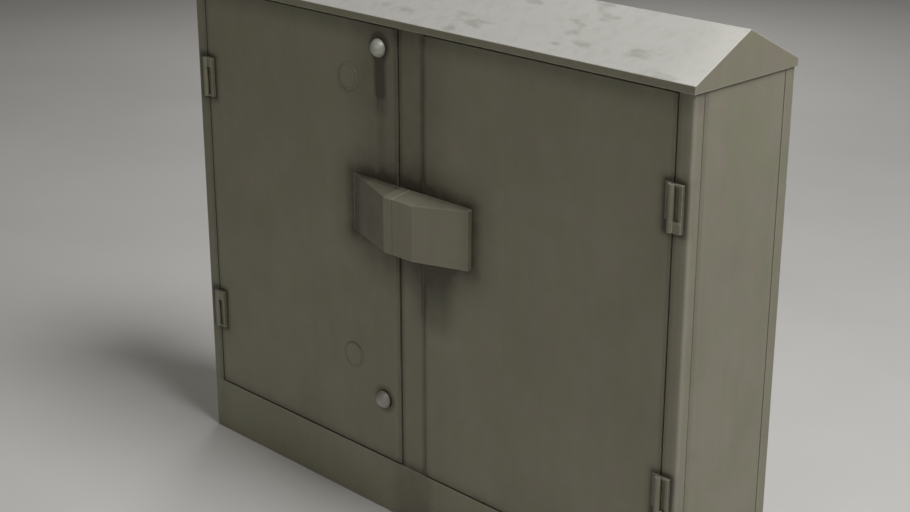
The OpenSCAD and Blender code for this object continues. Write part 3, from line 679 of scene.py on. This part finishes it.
def makeGasket(node, look):
    # the profile carried round a rectangle with round corners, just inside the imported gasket:
    # point = corner + (radius - across) * (cos, sin) of the angle round it, at y = low + out
    low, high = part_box(node)
    profile = gasketProfile(look, high.y - low.y)
    radius = look["cornerRadius"]
    turn = np.linspace(0.0, math.pi / 2, look["cornerPoints"])
    corners = np.array([[high.x - radius, high.z - radius], [low.x + radius, high.z - radius],
                        [low.x + radius, low.z + radius], [high.x - radius, low.z + radius]])
    angle = (turn[None, :] + np.arange(4)[:, None] * math.pi / 2).reshape(-1)
    outward = np.stack([np.cos(angle), np.sin(angle)], axis=-1)
    edge = np.repeat(corners, look["cornerPoints"], axis=0) + radius * outward
    inward = edge[:, None, :] - outward[:, None, :] * profile[None, :, :1]
    y = np.broadcast_to(low.y + profile[None, :, 1:], (*inward.shape[:2], 1))
    points = np.concatenate([inward[..., :1], y, inward[..., 1:]], axis=-1)
    faces = loopFaces(len(edge), len(profile)).tolist()
    piece = addMesh(camel(node), points, faces, "rubber", bodyOf[node])
    piece.data.polygons.foreach_set("use_smooth", np.ones(len(piece.data.polygons), bool))
    piece.data.set_sharp_from_angle(angle=math.radians(50))
    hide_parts(node)


for side in ("left", "right"):
    makeGasket(f"{side}_door_gasket", gasketLook)

contactLook = {
    "strips": 10,              # on one block
    "perRow": 20,              # wire contacts on each half of a strip
    "offMiddle": 0.0125,       # from the strip's middle to the middle of a row of contacts
    "margin": 0.010,           # from the block's ends to the first and the last contact
    "tall": 0.009,
    "thick": 0.0009,           # of one prong
    "reach": 0.0035,           # of one prong, out of the block
    "root": 0.002,             # of one prong, inside the block
    "slot": 0.0005,            # between the two prongs
}


def makeContacts(node, look):
    # two bevelled prongs with a slot between them: an outline of five points in plan, drawn twice
    # mirrored, raised to the contact's height and set out on a grid: point = place + (plan, level)
    low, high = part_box(node)
    thick, reach, root, gap = look["thick"], look["reach"], look["root"], look["slot"] / 2
    outline = np.array([[gap, root], [gap, -0.6 * reach], [gap + 0.5 * thick, -reach],
                        [gap + thick, -0.9 * reach], [gap + thick, root]])
    sides = len(outline)
    prongs = np.zeros((2, 2, sides, 3))                         # two prongs, their lower and upper outline
    prongs[..., :2] = np.stack([outline, outline[::-1] * [-1, 1]])[:, None]
    prongs[..., 2] = (np.array([-0.5, 0.5]) * look["tall"])[:, None]
    pitch = (high.z - low.z) / look["strips"]
    x = np.linspace(low.x + look["margin"], high.x - look["margin"], look["perRow"])
    z = low.z + (np.arange(look["strips"]) + 0.5) * pitch
    z = (z[:, None] + np.array([-1, 1]) * look["offMiddle"]).reshape(-1)
    placeX, placeZ = np.meshgrid(x, z, indexing="ij")
    places = np.stack([placeX, np.full_like(placeX, low.y), placeZ], axis=-1).reshape(-1, 3)
    points = places[:, None, None, None, :] + prongs[None]
    start = (np.arange(2 * len(places)) * 2 * sides)[:, None, None]    # each prong's first point
    side = np.arange(sides)
    ahead = (side + 1) % sides
    walls = np.stack([side, ahead, ahead + sides, side + sides], axis=-1)
    quads = np.concatenate([walls, [[0, 1, 2, 3], [5, 8, 7, 6]]])
    triangles = np.array([[0, 3, 4], [5, 9, 8]])
    faces = (start + quads).reshape(-1, 4).tolist() + (start + triangles).reshape(-1, 3).tolist()
    addMesh(camel(node) + "Contacts", points, faces, "zinc", bodyOf[node])


for i in range(1, 7):
    makeContacts(f"terminal_block_{i}", contactLook)
print("gaskets and contacts added")

floorLook = {
    "half": 14.0,              # metres from the middle to each side
    "cells": 56,
    "grey": (0.60, 0.595, 0.58), "pale": (0.66, 0.655, 0.64), "grit": (0.42, 0.415, 0.40),
}


def floorFinish(look):
    graph = Graph("paleFloor")
    cloud = graph.noise(0.8, detail=4.0)
    grit = graph.noise(240.0)
    colour = graph.mix(graph.band(cloud, 0.3, 0.7), look["grey"], look["pale"])
    colour = graph.mix(graph.band(grit, 0.55, 0.8, 0.0, 0.12), colour, look["grit"])
    return graph.finish(colour, graph.band(cloud, 0.3, 0.7, 0.8, 0.7), graph.bump(grit, 0.0002))


def makeFloor(look):
    # a square grid on z = 0
    n = look["cells"] + 1
    line = np.linspace(-look["half"], look["half"], n)
    x, y = np.meshgrid(line, line, indexing="ij")
    points = np.stack([x, y, np.zeros_like(x)], axis=-1).reshape(-1, 3)
    corner = (np.arange(n - 1)[:, None] * n + np.arange(n - 1)).reshape(-1)
    faces = np.stack([corner, corner + n, corner + n + 1, corner + 1], axis=-1)
    mesh = bpy.data.meshes.new("floor")
    mesh.from_pydata(points.tolist(), [], faces.tolist())
    mesh.materials.append(floorFinish(look))
    floor = bpy.data.objects.new("floor", mesh)
    scene.collection.objects.link(floor)


makeFloor(floorLook)
print("floor made")
